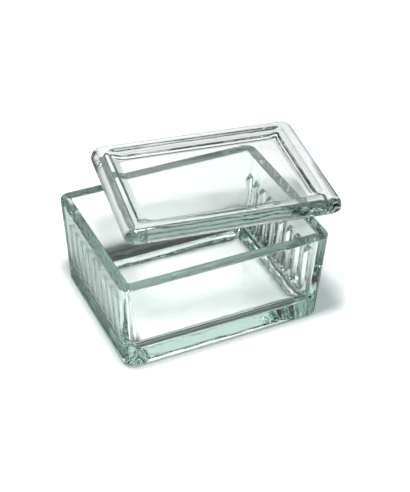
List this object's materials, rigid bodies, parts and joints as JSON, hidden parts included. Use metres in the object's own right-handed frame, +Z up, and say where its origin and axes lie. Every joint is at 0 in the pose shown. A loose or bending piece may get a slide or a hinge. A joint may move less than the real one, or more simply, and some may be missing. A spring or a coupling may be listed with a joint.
{
  "type": "slide staining jar",
  "caption": "Rectangular pressed-glass jar with grooved end walls that hold microscope slides on edge, and a loose glass lid lying part open on its rim.",
  "frame": {"origin": "centre of the jar's flat base, on the surface that it stands on", "axes": "+Z up, +X along the jar's long side, +Y along its short side, towards the side that the lid is pushed to"},
  "size_m": [0.1102, 0.0895, 0.049],
  "materials": {
    "jar_glass": "clear pressed soda-lime glass with a faint green tint, fire-polished",
    "lid_glass": "clear pressed soda-lime glass with a faint green tint, fire-polished"
  },
  "bodies": {
    "root": {"staining_jar": "jar_glass", "lid": "lid_glass"}
  },
  "joints": []
}
